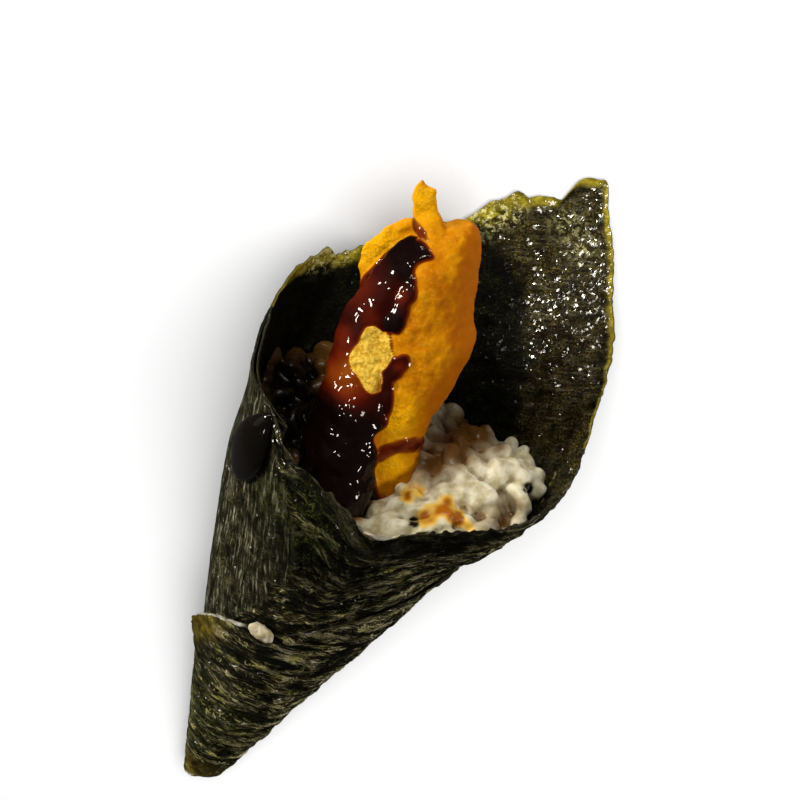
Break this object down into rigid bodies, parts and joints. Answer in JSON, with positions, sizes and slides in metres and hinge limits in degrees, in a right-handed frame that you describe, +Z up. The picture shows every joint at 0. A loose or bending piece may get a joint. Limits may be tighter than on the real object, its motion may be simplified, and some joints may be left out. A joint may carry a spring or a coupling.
{
  "type": "temaki hand roll",
  "caption": "Cone of rolled nori seaweed lying on its back, filled with rice and a piece of tempura under dark sauce that stand out of its open mouth.",
  "frame": {"origin": "middle of the bounding box's base: the roll lies on the flat at the back of the cone", "axes": "+Y from the tip towards the open mouth, +Z up through the front of the roll, +X to the right when the front is looked at with the mouth up"},
  "size_m": [0.0604, 0.141, 0.0514],
  "materials": {
    "nori": "thin dried seaweed, black-green with grey-green fibres that lie in one direction, half gloss, olive and translucent at its edges",
    "rice": "moist cooked short-grain rice, warm white, slightly see-through",
    "tempura_batter": "thin fried batter, golden yellow to orange-brown, under dark brown sauce at the front left",
    "dark_sauce": "thick glossy soy glaze, nearly black, amber where it is thin"
  },
  "bodies": {
    "root": {"nori_sheet": "nori", "rice": "rice", "tempura": "tempura_batter", "sauce_drip": "dark_sauce", "caught_grain": "rice"}
  },
  "joints": []
}
